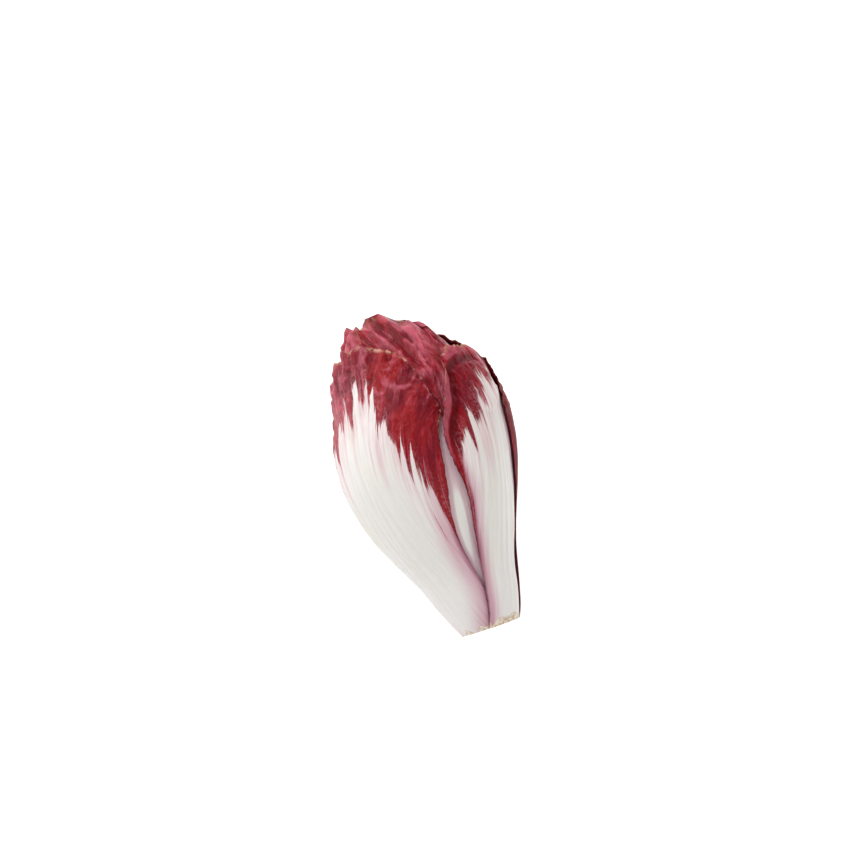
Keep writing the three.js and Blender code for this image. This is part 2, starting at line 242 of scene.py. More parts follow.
def depthUnder(order, azimuth, along, polar):
    # depth is the sum of what the leaves above take up, thickness + gap, fading out beyond their margins;
    # uncovered is the product of how far each of them leaves the place open
    h = headShape
    depth = np.zeros(np.broadcast(azimuth, along, polar).shape)
    uncovered = np.ones_like(depth)
    opened = np.where(polar > 0, 1, smooth(along, 0, h["gapOpensBy"]))
    gap = h["footGap"] + (h["leafGap"] - h["footGap"]) * opened
    for leaf in allLeaves[:order]:
        across, down = onLeaf(leaf, azimuth, along, polar)
        u, v = leafCoordinates(leaf, across, down)
        length = leaf["to"] - leaf["from"]
        wide = halfWidth(leaf, np.clip(v, 0, 1), across) * h["widestRadius"]
        sideways = np.maximum(0, np.abs(u) - 1) * wide
        beyondTip = np.maximum(0, v - 1) * length * cornerCut(leaf, u, v)
        beyondFoot = np.maximum(0, -v) * length
        beyond = np.sqrt(sideways ** 2 + beyondTip ** 2 + beyondFoot ** 2)
        share = 1 - smooth(beyond, h["coverMargin"], h["coverFade"])
        depth += share * (thickness(leaf, np.clip(u, -1, 1), np.clip(v, 0, 1)) + gap)
        uncovered *= smooth(beyond, h["openMargin"], h["openFade"])
    return depth, uncovered


def laidDown(x, y, z):
    # rolled about the head's length, tipped up at the crown and set on the table
    roll, pitch = math.radians(headShape["roll"]), math.radians(headShape["pitch"])
    x, z = x * math.cos(roll) + z * math.sin(roll), -x * math.sin(roll) + z * math.cos(roll)
    y, z = y * math.cos(pitch) - z * math.sin(pitch), y * math.sin(pitch) + z * math.cos(pitch)
    px, py, pz = headShape["place"]
    return np.stack([x + px, y + py, z + pz], -1)


def headPoint(azimuth, along, polar, depth):
    # out from the head's middle line by radius - depth; the line bows by a sine to the power 1.3 and leans
    # over by a power of the distance past its straight place
    h = headShape
    reach = np.where(polar > 0, crownReach(polar), bodyRadius(along)) - depth
    flat = reach * np.cos(polar)
    y = along + np.where(polar > 0, reach * np.sin(polar), 0)
    bow = -h["bow"] * np.sin(math.pi * np.clip(y / h["straightAt"], 0, 1)) ** h["bowPower"]
    lean = -h["lean"] * np.clip((y - h["straightAt"]) / h["leanOver"], 0, h["leanLimit"]) ** h["leanPower"]
    return laidDown(flat * np.sin(azimuth) + bow + lean, y, flat * np.cos(azimuth) * h["depthSquash"])


# meshes
sharpFrom = 55    # degrees between faces


def gridFaces(rows, columns, start, flipped):
    # cell i, j has corners a, a + 1, a + columns + 2 and a + columns + 1, where a = i (columns + 1) + j
    i, j = np.meshgrid(np.arange(rows), np.arange(columns), indexing="ij")
    a = (start + i * (columns + 1) + j).ravel()
    corners = [a, a + 1, a + columns + 2, a + columns + 1]
    return np.stack(corners[::-1] if flipped else corners, -1)


def ringFaces(rows, columns):
    # cell i, j of rings, the last column joined to the first
    i, j = np.meshgrid(np.arange(rows), np.arange(columns), indexing="ij")
    a, b = (i * columns + j).ravel(), (i * columns + (j + 1) % columns).ravel()
    return np.stack([a, b, b + columns, a + columns], -1)


def poleCaps(rows, columns):
    # a many-sided face over the small ring at either end
    first = np.arange(columns)
    return [first[::-1], first + rows * columns]


def closedSheet(outer, inner):
    # an outer and an inner grid of points, joined by a strip of faces from rim point to rim point
    rows, columns = outer.shape[0] - 1, outer.shape[1] - 1
    count = (rows + 1) * (columns + 1)
    ids = np.arange(count).reshape(rows + 1, columns + 1)
    rim = np.concatenate([ids[0, :-1], ids[:-1, -1], ids[-1, :0:-1], ids[:0:-1, 0]])
    after = np.roll(rim, -1)
    strip = np.stack([rim, rim + count, after + count, after], -1)
    faces = np.concatenate([gridFaces(rows, columns, 0, False), gridFaces(rows, columns, count, True), strip])
    return np.concatenate([outer.reshape(-1, 3), inner.reshape(-1, 3)]), faces


def makeMesh(name, points, faces, caps):
    # points in millimetres become a mesh in metres, of four-sided faces and the caps
    mesh = bpy.data.meshes.new(name)
    mesh.vertices.add(len(points))
    mesh.vertices.foreach_set("co", (points / 1000).astype(np.float32).ravel())
    corners = np.concatenate([faces.ravel(), *caps]).astype(np.int32)
    sizes = np.array([4] * len(faces) + [len(cap) for cap in caps])
    mesh.loops.add(len(corners))
    mesh.loops.foreach_set("vertex_index", corners)
    mesh.polygons.add(len(sizes))
    mesh.polygons.foreach_set("loop_start", (np.cumsum(sizes) - sizes).astype(np.int32))
    mesh.update(calc_edges=True)
    mesh.validate()
    return mesh


def makePiece(name, points, faces, maps, fields, material, replaced, slot, caps=()):
    # the mesh with its maps, its fields of numbers and its material, in place of the CAD node
    mesh = makeMesh(name, points, faces, caps)
    corner = np.empty(len(mesh.loops), np.int32)
    mesh.loops.foreach_get("vertex_index", corner)
    for key, pair in maps.items():
        mesh.uv_layers.new(name=key).data.foreach_set("uv", pair[corner].astype(np.float32).ravel())
    for key, values in fields.items():
        mesh.attributes.new(key, "FLOAT", "POINT").data.foreach_set("value", values.astype(np.float32))
    mesh.shade_smooth()
    mesh.set_sharp_from_angle(angle=math.radians(sharpFrom))
    piece = bpy.data.objects.new(name, mesh)
    bpy.context.scene.collection.objects.link(piece)
    piece.data.materials.append(material)
    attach(piece, "root")
    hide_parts(replaced)


# material nodes
mapUnit = 100    # mm to one unit of the maps


def addNode(tree, kind, inputs=None, **settings):
    # inputs are other nodes' sockets, which are linked, or plain values
    node = tree.nodes.new("ShaderNode" + kind)
    for key, value in settings.items():
        setattr(node, key, value)
    for key, value in (inputs or {}).items():
        if isinstance(value, bpy.types.NodeSocket):
            tree.links.new(value, node.inputs[key])
        else:
            node.inputs[key].default_value = value
    return node


def calc(tree, operation, a, b=0.0):
    return addNode(tree, "Math", {0: a, 1: b}, operation=operation).outputs[0]


def plus(tree, a, b):
    return calc(tree, "ADD", a, b)


def minus(tree, a, b):
    return calc(tree, "SUBTRACT", a, b)


def times(tree, a, b):
    return calc(tree, "MULTIPLY", a, b)


def soft(tree, value, low, high, toLow=0.0, toHigh=1.0):
    # a soft step from toLow at low to toHigh at high; low may be the larger of the two
    inputs = {"Value": value, "From Min": low, "From Max": high, "To Min": toLow, "To Max": toHigh}
    return addNode(tree, "MapRange", inputs, interpolation_type="SMOOTHSTEP").outputs["Result"]


def tint(tree, share, below, above):
    # below * (1 - share) + above * share
    node = addNode(tree, "Mix", {"Factor": share}, data_type="RGBA")
    for socket, colour in ((node.inputs[6], below), (node.inputs[7], above)):
        if isinstance(colour, bpy.types.NodeSocket):
            tree.links.new(colour, socket)
        else:
            socket.default_value = (*colour, 1)
    return node.outputs[2]


def layered(tree, colour, layers):
    # each layer is a share and the colour that it lays over those before it
    for share, above in layers:
        colour = tint(tree, share, colour, above)
    return colour


def field(tree, name):
    return addNode(tree, "Attribute", attribute_name=name).outputs["Fac"]


def mapOf(tree, name):
    return addNode(tree, "UVMap", uv_map=name).outputs[0]


def patch(tree, mapOut, scale, detail, rough, seed):
    # noise stretched over a map: scale is how many patches there are to one map unit, across and along
    moved = {"Vector": mapOut, "Location": (seed, seed * 0.7, 0), "Scale": (*scale, 1)}
    place = addNode(tree, "Mapping", moved)
    inputs = {"Vector": place.outputs[0], "Scale": 1.0, "Detail": detail, "Roughness": rough}
    return addNode(tree, "TexNoise", inputs, noise_dimensions="2D").outputs[0]


def freshTree(name):
    # a new material with no nodes yet
    material = bpy.data.materials.new(name)
    material.use_nodes = True
    material.node_tree.nodes.clear()
    return material, material.node_tree


# leaf material
# among these are the pink of the painted highlights and painted light, the near-black painted shade at the
# leaves' edges and the deep red painted shade; the violet is partly the margins' own colour and partly
# painted shade in the seams
leafColours = {
    "white": (0.765, 0.735, 0.71), "greenish": (0.70, 0.70, 0.56), "shadeLine": (0.62, 0.54, 0.52),
    "pink": (0.55, 0.25, 0.33), "violet": (0.26, 0.045, 0.105), "blush": (0.62, 0.34, 0.39),
    "crimson": (0.27, 0.004, 0.008), "wine": (0.17, 0.003, 0.012), "bright": (0.46, 0.028, 0.045),
    "veinPink": (0.62, 0.25, 0.29), "paintedLight": (0.56, 0.12, 0.17), "deep": (0.075, 0.002, 0.004),
    "edgeShade": (0.07, 0.010, 0.018), "edgePale": (0.60, 0.33, 0.24), "edgeTan": (0.38, 0.17, 0.10),
    "cutCream": (0.74, 0.66, 0.55), "cutBrown": (0.50, 0.31, 0.19), "cutLine": (0.34, 0.17, 0.08),
}
# in mm: flame is how far the flames reach, pinkWide how far in the pink goes and footTall the height of the
# browned foot. paintedLightFrom is how low on the folds the pink painted highlights start. The rest are
# shares:
# whiteLeft keeps the left side free of pink, paintedLeftLight is painted light on the left side,
# wholeLeafShade lays painted shade of deep red over the whole leaf, creased is for the creases (their painted
# shade, the painted highlights on the crinkles and the bump), paleRim and rimShade for the margins' ragged
# rim and their painted shade, and gloss is a clear coat
outerLook = {"brighter": 0.0, "paintedLightFrom": 0.1, "creased": 0.25}
leafLooks = {
    "outer_leaf_1": {**outerLook, "paintedLight": 0.10, "paleRim": 0.30, "rimShade": 0.8, "wholeLeafShade": 0.35,
                     "specular": 0.02, "gloss": 0.0},
    "outer_leaf_2": {**outerLook, "paintedLight": 0.50, "paleRim": 0.80, "rimShade": 0.6, "flame": 36, "footTall": 2.2,
                     "pinkWide": 7.5, "specular": 0.05, "gloss": 0.07},
    "outer_leaf_3": {**outerLook, "paintedLight": 0.55, "paleRim": 0.85, "rimShade": 0.6, "flame": 48, "footTall": 0.3,
                     "pinkWide": 12.5, "paintedLeftLight": 0.45, "whiteLeft": 0.9, "gloss": 0.13},
    "outer_leaf_4": {**outerLook, "paintedLight": 0.50, "paleRim": 0.70, "rimShade": 0.7},
    "other": {"brighter": 0.40, "paintedLight": 0.80, "paintedLightFrom": -0.35, "creased": 0.45, "paleRim": 0.45,
              "rimShade": 0.9, "flame": 46, "footTall": 0.6, "pinkWide": 9.5, "paintedLeftLight": 0.0,
              "whiteLeft": 0.0, "wholeLeafShade": 0.0, "specular": 0.08, "gloss": 0.11},
}
# each noise has its map, its patches to a map unit across and along, its detail, roughness and own seed
leafNoise = {
    "coarse": ("veins", (19, 1.1), 1.0, 0.35, 0), "fine": ("veins", (62, 3.0), 2.0, 0.55, 3),
    "wander": ("veins", (9, 0.7), 1.0, 0.4, 4), "feather": ("veins", (170, 7), 2.0, 0.6, 15),
    "lines": ("flat", (80, 1.6), 3.0, 0.6, 1), "blotch": ("flat", (7, 2.5), 2.0, 0.5, 2),
    "broad": ("veins", (9, 3.0), 3.0, 0.55, 5), "mottle": ("flat", (90, 70), 3.0, 0.65, 6),
    "veinHills": ("veins", (26, 0.6), 1.0, 0.3, 7), "crinkle": ("veins", (42, 10), 3.0, 0.6, 13),
    "rim": ("flat", (40, 30), 2.0, 0.5, 8), "drying": ("flat", (12, 14), 2.0, 0.5, 11),
    "scallop": ("flat", (26, 9), 1.0, 0.4, 14), "browning": ("flat", (55, 70), 3.0, 0.6, 12),
    "pucker": ("veins", (48, 22), 3.0, 0.6, 9), "skin": ("flat", (260, 200), 2.0, 0.6, 10),
}
# how far each noise moves the red's boundary, in mm or as a share of the flame
flameShape = {"tongue": 6.2, "tongueShare": 1 / 9, "wander": 14, "feather": 11, "fineShare": 0.5,
              "edge": (-1.8, 2.8)}
leafNumbers = ("redDepth", "edge", "tipEdge", "open", "crest", "down", "foot")
leafSkin = {"subsurface": 0.04, "radius": (1.0, 0.45, 0.35), "scale": 0.002, "coatRoughness": 0.2,
            "bump": 0.6, "bumpHeight": 0.0010, "scallop": 7.0}


def leafPlaces(tree, seed):
    # what the mesh tells of each place on the leaf, and the noises over it
    maps = {name: mapOf(tree, name) for name in ("veins", "flat")}
    places = {name: field(tree, name) for name in leafNumbers}
    places["label"] = addNode(tree, "SeparateXYZ", {0: maps["veins"]}).outputs[0]
    places["across"] = addNode(tree, "SeparateXYZ", {0: maps["flat"]}).outputs[0]
    for name, (mapName, scale, detail, rough, own) in leafNoise.items():
        places[name] = patch(tree, maps[mapName], scale, detail, rough, seed + own)
    return places


def flameLevel(tree, at, flame):
    # mm above the red's boundary + coarse, fine and feather noise about their middles + narrow tongues
    wide = flameShape["tongue"]
    wander = times(tree, at["wander"], flameShape["wander"])
    label = plus(tree, times(tree, at["label"], mapUnit), wander)
    tongue = calc(tree, "PINGPONG", label, wide / 2)
    level = at["redDepth"]
    moves = [
        (at["coarse"], 0.5, flame),
        (tongue, wide / 4, flame * flameShape["tongueShare"]),
        (at["fine"], 0.5, flame * flameShape["fineShare"]),
        (at["feather"], 0.5, flameShape["feather"]),
    ]
    for moved, middle, by in moves:
        level = plus(tree, level, times(tree, minus(tree, moved, middle), by))
    return level


def whiteOfLeaf(tree, at, level, look):
    # thin ribs, greenish places, a blush below the flames, pink at the margins, violet along them that is
    # partly their own colour and partly painted shade in the seams, and pink as painted shade where leaves
    # above cover the leaf
    c = leafColours
    blush = times(tree, soft(tree, level, -36.0, 0.0), soft(tree, at["fine"], 0.35, 0.7, 0.25, 1.0))
    nearMargin = soft(tree, at["edge"], look["pinkWide"], 0.8)
    pinkness = times(tree, nearMargin, soft(tree, at["lines"], 0.2, 0.75, 0.6, 1.0))
    pinkness = times(tree, pinkness, soft(tree, at["across"], -0.12, 0.02, 1 - look["whiteLeft"], 1.0))
    # violet within 3.3 mm of the margin, less near the foot: partly the margins' own colour, partly painted
    # shade in the seams
    seam = soft(tree, at["edge"], 3.3, 0.3, 0.0, 0.85)
    seam = times(tree, seam, soft(tree, at["down"], 6.0, 45.0, 0.3, 1.0))
    return layered(tree, c["white"], [
        (soft(tree, at["blotch"], 0.42, 0.72, 0.0, 0.22), c["greenish"]),
        (soft(tree, at["lines"], 0.52, 0.74, 0.0, 0.24), c["shadeLine"]),
        (times(tree, blush, 0.6), c["blush"]),
        (times(tree, pinkness, 0.9), c["pink"]),
        (seam, c["violet"]),
        # painted shade: pink where the leaves above cover this one
        (soft(tree, at["open"], 0.16, 0.0, 0.0, 0.55), c["pink"]),
    ])


def veinShare(tree, at, level):
    # pale veins where a soft noise crosses its middle height, tapering and fading up into the red
    crossing = calc(tree, "ABSOLUTE", minus(tree, at["veinHills"], 0.5))
    width = soft(tree, level, 0.0, 26.0, 0.032, 0.014)
    vein = minus(tree, 1.0, soft(tree, crossing, 0.004, width))
    return times(tree, vein, soft(tree, level, 2.0, 24.0, 0.5, 0.0))


def redOfLeaf(tree, at, level, crinkles, crease, look):
    # crimson and wine in places, bright streaks and mottles, painted highlights in pink on the fold crests
    # and crinkles, painted light in pink on the left side, and painted shade in deep red in the valleys, the
    # creases and over the whole leaf
    c = leafColours
    # painted light: a pale pink cast over the left side of the leaf
    onLeft = soft(tree, at["across"], 0.08, -0.10, 0.0, look["paintedLeftLight"])
    paintedLeftLight = times(tree, onLeft, soft(tree, at["fine"], 0.3, 0.6, 0.35, 1.0))
    nearFlame = times(tree, soft(tree, level, 16.0, 2.0), soft(tree, at["mottle"], 0.4, 0.7))
    return layered(tree, c["crimson"], [
        (soft(tree, at["broad"], 0.38, 0.64), c["wine"]),
        # painted shade: deep red laid over the whole leaf
        (look["wholeLeafShade"], c["deep"]),
        (soft(tree, at["fine"], 0.52, 0.8, 0.0, 0.35), c["bright"]),
        (soft(tree, at["mottle"], 0.55, 0.8, 0.0, 0.3), c["bright"]),
        (soft(tree, at["broad"], 0.3, 0.7, look["brighter"], 0.0), c["bright"]),
        (paintedLeftLight, c["paintedLight"]),
        # painted highlight: pink on the fold crests
        (soft(tree, at["crest"], look["paintedLightFrom"], 0.85, 0.0, look["paintedLight"]), c["paintedLight"]),
        # painted shade: deep red in the valleys between the folds
        (soft(tree, at["crest"], -0.1, -1.0, 0.0, 0.6), c["deep"]),
        # painted shade: deep red in the creases
        (times(tree, crease, look["creased"]), c["deep"]),
        # painted highlight: pink on the crinkles' tops
        (soft(tree, crinkles, 0.07, 0.20, 0.0, look["creased"] * 0.6), c["paintedLight"]),
        (times(tree, nearFlame, 0.25), c["blush"]),
        (veinShare(tree, at, level), c["veinPink"]),
    ])


def leafMargins(tree, at, colour, look):
    # a thin rim of near-black painted shade at the edges, and over it a ragged one, pale or tan, along the
    # tip and the upper sides
    c = leafColours
    # painted shade: a near-black line within 0.9 mm of the edge
    rim = times(tree, soft(tree, at["edge"], 0.9, 0.1), soft(tree, at["rim"], 0.3, 0.7, 0.5, 1.0))
    tipRim = times(tree, soft(tree, at["tipEdge"], 3.0, 0.5), soft(tree, at["rim"], 0.42, 0.58))
    sideRim = times(tree, soft(tree, at["edge"], 1.3, 0.3), soft(tree, at["down"], 84.0, 98.0))
    sideRim = times(tree, sideRim, soft(tree, at["rim"], 0.42, 0.58, 0.0, 0.8))
    ragged = calc(tree, "MAXIMUM", tipRim, sideRim)
    raggedColour = tint(tree, soft(tree, at["drying"], 0.42, 0.60), c["edgePale"], c["edgeTan"])
    return layered(tree, colour, [
        (times(tree, rim, look["rimShade"]), c["edgeShade"]),
        (times(tree, ragged, look["paleRim"]), raggedColour),
    ])


def leafFoot(tree, at, colour, look):
    # the cut foot is cream and browned up to a scalloped edge, which ends in a thin line
    c = leafColours
    scallops = times(tree, minus(tree, at["scallop"], 0.5), leafSkin["scallop"])
    height = plus(tree, at["foot"], scallops)
    footShare = soft(tree, height, 1.1 + look["footTall"], 0.2 + look["footTall"])
    lineShare = times(tree, soft(tree, footShare, 0.02, 0.35), soft(tree, footShare, 0.95, 0.5))
    return layered(tree, colour, [
        (footShare, c["cutCream"]),
        (times(tree, footShare, soft(tree, at["browning"], 0.44, 0.64, 0.0, 0.8)), c["cutBrown"]),
        (times(tree, lineShare, 0.3), c["cutLine"]),
    ])


def leafBump(tree, at, red, crease, look):
    # relief finer than the mesh: half the ribs' lines + puckers, more of them up on the red + skin - creases
    puckered = times(tree, at["pucker"], soft(tree, at["redDepth"], -20.0, 25.0, 0.1, 1.2))
    height = plus(tree, times(tree, at["lines"], 0.5), puckered)
    height = plus(tree, height, times(tree, at["skin"], 0.12))
    height = minus(tree, height, times(tree, crease, times(tree, red, look["creased"] * 0.5)))
    inputs = {"Height": height, "Strength": leafSkin["bump"], "Distance": leafSkin["bumpHeight"]}
    return addNode(tree, "Bump", inputs).outputs[0]


def leafMaterial(name, seed, look):
    # white below the flames and red above them, then the margins and the foot
    material, tree = freshTree(name)
    look = {**leafLooks["other"], **look}
    at = leafPlaces(tree, seed)
    level = flameLevel(tree, at, look["flame"])
    red = soft(tree, level, *flameShape["edge"])
    crinkles = minus(tree, at["crinkle"], 0.5)
    crease = minus(tree, 1.0, soft(tree, calc(tree, "ABSOLUTE", crinkles), 0.0, 0.085))
    white = whiteOfLeaf(tree, at, level, look)
    colour = tint(tree, red, white, redOfLeaf(tree, at, level, crinkles, crease, look))
    colour = leafMargins(tree, at, colour, look)
    colour = leafFoot(tree, at, colour, look)
    bump = leafBump(tree, at, red, crease, look)
    roughness = soft(tree, at["pucker"], 0.3, 0.75, 0.30, 0.45)
    shader = addNode(tree, "BsdfPrincipled", {
        "Base Color": colour, "Roughness": roughness, "Normal": bump, "Coat Normal": bump})
    shader.inputs["Subsurface Weight"].default_value = leafSkin["subsurface"]
    shader.inputs["Subsurface Radius"].default_value = leafSkin["radius"]
    shader.inputs["Subsurface Scale"].default_value = leafSkin["scale"]
    shader.inputs["Specular IOR Level"].default_value = look["specular"]
    shader.inputs["Coat Weight"].default_value = look["gloss"]
    shader.inputs["Coat Roughness"].default_value = leafSkin["coatRoughness"]
    addNode(tree, "OutputMaterial", {"Surface": shader.outputs[0]})
    return material


# leaves
# where the red starts, in millimetres along the leaf, against the share of the way from midrib to margin
evenStart = [(0, 124), (0.4, 106), (0.8, 90), (1, 60)]
paleStart = [(0, 96), (0.6, 94), (1, 74)]
innerStart = [(0, 112), (0.3, 104), (0.7, 96), (1, 78)]
redStart = {
    "outer_leaf_1": {"left": [(0, 118), (0.4, 108), (0.72, 82), (0.86, 48), (0.95, 8), (1, 0)],
                     "right": [(0, 118), (0.4, 110), (0.8, 92), (1, 60)]},
    "outer_leaf_2": {"left": [(0, 114), (0.06, 110), (0.15, 104), (0.3, 97), (0.45, 93), (0.6, 87),
                              (0.78, 76), (0.9, 62), (1, 32)],
                     "right": [(0, 114), (0.15, 111), (0.5, 109), (1, 105)]},
    "outer_leaf_3": {"left": [(0, 125), (0.12, 118), (0.4, 100), (0.7, 94), (1, 66)],
                     "right": [(0, 125), (0.1, 124), (0.25, 111), (0.41, 97), (0.52, 85), (0.64, 77),
                               (0.74, 70), (0.85, 62), (0.94, 55), (1, 42)]},
    "outer_leaf_4": {"left": evenStart, "right": evenStart},
    "middle_leaf_1": {"left": paleStart, "right": paleStart},
    "other": {"left": innerStart, "right": innerStart},
}
# soft hills, by the veins' label or by x: mm to a hill across and along, shift and own seed
leafHills = {
    "vein": ("label", 5.2, 42, 13, 4), "twig": ("label", 2.3, 19, 31, 5),
    "veinPlaces": ("label", 6, 30, 0, 6), "ribWander": ("x", 5, 40, 0, 7),
    "pucker": ("label", 3.4, 8, 0, 8), "finePucker": ("label", 1.8, 4.4, 9, 9),
    "fold": ("label", 4.3, 13, 5, 10), "crinkle": ("x", 2.1, 4.4, 9, 11),
    "swell": ("x", 15, 24, 0, 12), "ruffleWander": ("x", 7, 8, 0, 13),
}
# lines of noise lie on rows of their own
noiseRows = {"middle": 20, "margins": 9.3, "fine": 7, "level": 3.3}


def leafSeed(leaf):
    return 40 + 20 * leaf["order"]


def hillsOf(leaf, at, name):
    # the named hills' height at each point of the leaf
    measured, across, along, shift, own = leafHills[name]
    return grain(at[measured] / across + shift, at["down"] / along, leafSeed(leaf) + own)


gridShape = {"outer": (240, 180), "inner": (170, 120), "heart": (64, 48),
             "rowPower": 0.86, "columnTurn": 0.92}


def leafGrid(leaf, rows, columns):
    # v = row share ^ 0.86 and u = sine of the column's turn, so points lie closer at the tip and the margins
    v = (np.linspace(0, 1, rows + 1) ** gridShape["rowPower"])[:, None] * np.ones((1, columns + 1))
    spread = math.pi / 2 * gridShape["columnTurn"]
    u = np.sin(np.linspace(-1, 1, columns + 1) * spread)[None, :] / math.sin(spread) * np.ones((rows + 1, 1))
    along = leaf["from"] + (leaf["to"] - leaf["from"]) * v
    widthMm = halfWidth(leaf, v, u) * bodyRadius(np.minimum(along, headShape["widestAt"]))
    return {"u": u, "v": v, "along": along, "widthMm": widthMm, "x": u * widthMm}


teeth = {"height": 1.2, "pitch": 4.6, "power": 1.6, "finePitch": 1.7, "fineShare": 0.35,
         "starts": (0, 0), "marginPower": 14, "alongSide": (0.18, 0.6)}
tipTeeth = {"height": 1.56, "pitch": 4.6, "power": 1.6, "finePitch": 1.9, "fineShare": 0.4,
            "starts": (40, 80), "alongTip": (0.955, 1)}


def toothLine(shape, mm, rows, seed):
    # hills above their middle ^ power + share * finer hills, each on its own row of noise
    start, fineStart = shape["starts"]
    tooth = np.maximum(0, grain(mm / shape["pitch"] + start, rows[0], seed)) ** shape["power"]
    return tooth + shape["fineShare"] * grain(mm / shape["finePitch"] + fineStart, rows[1], seed + 1)


def toothed(leaf, at):
    # u moves out at the margins and v at the tip by the teeth's height * their line, as a share of the leaf
    u, v, seed, rows = at["u"], at["v"], leafSeed(leaf), noiseRows
    row = np.sign(u) * rows["margins"] + rows["middle"]
    side = toothLine(teeth, at["along"], (row, row + rows["fine"]), seed)
    level = v * 0 + rows["level"]
    tip = toothLine(tipTeeth, at["x"], (level, level), seed + 2)
    atMargin = np.abs(u) ** teeth["marginPower"] * smooth(v, *teeth["alongSide"])
    atTip = smooth(v, *tipTeeth["alongTip"])
    return (u * (1 + atMargin * teeth["height"] * side / at["widthMm"]),
            v * (1 + atTip * tipTeeth["height"] * tip / leaf["to"]))


fan = {"from": 100, "opens": 0.006, "curls": 0.00006}


def veinLabel(at):
    # the veins fan out from the midrib: x / (1 + opens * beyond + curls * beyond ^ 2), beyond the fan's start
    beyond = at["down"] - fan["from"]
    return at["x"] / (1 + fan["opens"] * beyond + fan["curls"] * np.maximum(0, beyond) ** 2)


ribs = {"height": 0.14, "pitch": 3.8, "wander": 0.6, "inMargins": (0.6, 0.98), "ends": (70, 105),
        "starts": (0.02, 0.12)}


def ribsOf(leaf, at):
    # on the white, height * the cosine of x over the pitch, with the lines wandering a little
    rib = np.cos(2 * math.pi * (at["x"] / ribs["pitch"] + ribs["wander"] * hillsOf(leaf, at, "ribWander")))
    rib = rib * (1 - smooth(np.abs(at["u"]), *ribs["inMargins"])) * (1 - smooth(at["down"], *ribs["ends"]))
    return ribs["height"] * rib * smooth(at["v"], *ribs["starts"])


veins = {"height": 0.20, "width": 0.16, "twigs": 0.35, "places": (-0.45, 0.25),
         "puckerHeight": 0.55, "finePuckers": 0.5, "from": (78, 112)}


def veinsOf(leaf, at):
    # on the red, height * e ^ -(hills / width) ^ 2, a line wherever the hills cross their middle, and puckers
    crossing = hillsOf(leaf, at, "vein") + veins["twigs"] * hillsOf(leaf, at, "twig")
    vein = np.exp(-(crossing / veins["width"]) ** 2)
    vein = vein * smooth(hillsOf(leaf, at, "veinPlaces"), *veins["places"])
    pucker = hillsOf(leaf, at, "pucker") + veins["finePuckers"] * hillsOf(leaf, at, "finePucker")
    return (veins["height"] * vein + veins["puckerHeight"] * pucker) * smooth(at["down"], *veins["from"])


folds = {"height": 0.75, "still": 0.2, "perWave": 0.4, "crinkleHeight": 0.4, "steep": 2.6, "from": (112, 140),
         "crestFrom": (100, 126), "crestFold": 0.6, "crestCrinkle": 0.4}


def foldsOf(leaf, at):
    # 1 - 2.6 |hills| makes branching ridges: relief near the tip, and the crests that the painted highlights
    # and painted shade follow
    fold = 1 - folds["steep"] * np.abs(hillsOf(leaf, at, "fold"))
    crinkle = 1 - folds["steep"] * np.abs(hillsOf(leaf, at, "crinkle"))
    high = folds["height"] * (folds["still"] + folds["perWave"] * leaf["wave"])
    relief = (high * fold + folds["crinkleHeight"] * crinkle) * smooth(at["down"], *folds["from"])
    crest = folds["crestFold"] * fold + folds["crestCrinkle"] * crinkle
    return relief, crest * smooth(at["down"], *folds["crestFrom"])


ruffles = {"swell": 0.5, "swellFrom": (0.05, 0.2), "tip": 1.15, "still": 0.4, "perWave": 0.25,
           "pitch": 8.5, "turn": 1.7, "wander": 2.2, "long": 26, "power": 1.6,
           "side": 0.16, "sidePitch": 13, "sideTurn": 2, "sideWander": 2, "sideHill": 11, "sidePower": 8,
           "alongSide": (0.3, 0.7)}


def rufflesOf(leaf, at):
    # soft swells + sines across the tip, growing towards it + sines along the margins
    r, down, order = ruffles, at["down"], leaf["order"]
    swell = hillsOf(leaf, at, "swell") * smooth(at["v"], *r["swellFrom"])
    wander = r["turn"] * order + r["wander"] * hillsOf(leaf, at, "ruffleWander")
    tip = np.sin(2 * math.pi * at["x"] / r["pitch"] + wander)
    tip = tip * smooth(down, leaf["to"] - r["long"], leaf["to"]) ** r["power"]
    level = at["v"] * 0 + noiseRows["level"]
    sideHills = grain(down / r["sideHill"], level, leafSeed(leaf) + 14)
    sideWander = r["sideTurn"] * order + r["sideWander"] * sideHills
    side = np.sin(2 * math.pi * down / r["sidePitch"] + sideWander)
    side = side * np.abs(at["u"]) ** r["sidePower"] * smooth(at["v"], *r["alongSide"])
    return r["swell"] * swell + r["tip"] * (r["still"] + r["perWave"] * leaf["wave"]) * tip + r["side"] * side


hood = {"band": 1.4, "grows": 4.0, "growsAlong": (0.62, 0.86), "across": (-0.4, 0.0), "along": (0.52, 0.68),
        "rollIn": 1.2, "rollOut": 1.8, "valleyIn": 3.2, "valleyWidth": 2.5, "valleyShade": 0.75,
        "bandPale": 1.3}


def turnedMargin(leaf, at):
    # the turned-out margin is a rolled band, wider towards the tip, and behind it lies a valley of the shape
    # e ^ -((distance in - its place) / its width) ^ 2
    h = hood
    band = h["band"] + h["grows"] * smooth(at["v"], *h["growsAlong"])
    onHood = (leaf["turned"] > 0) * smooth(-at["u"], *h["across"]) * smooth(at["v"], *h["along"])
    rolled = onHood * (1 - smooth(at["marginMm"], band - h["rollIn"], band + h["rollOut"]))
    inward = (at["marginMm"] - band - h["valleyIn"]) / h["valleyWidth"]
    return rolled, leaf["valley"] * onHood * np.exp(-inward ** 2)


